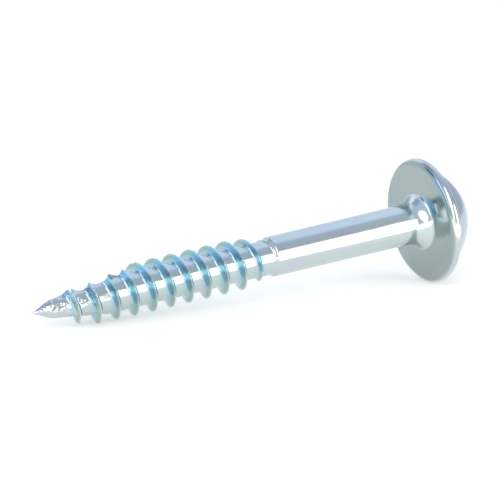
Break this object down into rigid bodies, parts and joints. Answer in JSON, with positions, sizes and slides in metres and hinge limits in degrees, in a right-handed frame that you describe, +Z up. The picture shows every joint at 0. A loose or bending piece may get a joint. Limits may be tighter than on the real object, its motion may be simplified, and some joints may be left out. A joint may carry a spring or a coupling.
{
  "type": "pocket hole screw",
  "caption": "Washer-head wood screw for pocket joints, with a square drive recess, a plain shank and a tapering right-hand thread to a pointed tip.",
  "frame": {"origin": "centre of the flat bearing face under the head, on the screw's axis", "axes": "+Z up as the screw lies at rest, the tip points towards -X and slopes down, so +X is the long way"},
  "size_m": [0.0347, 0.0092, 0.0091],
  "materials": {
    "plated_steel": "bright zinc plate with a faint blue passivate"
  },
  "bodies": {
    "root": {"screw": "plated_steel"}
  },
  "joints": []
}
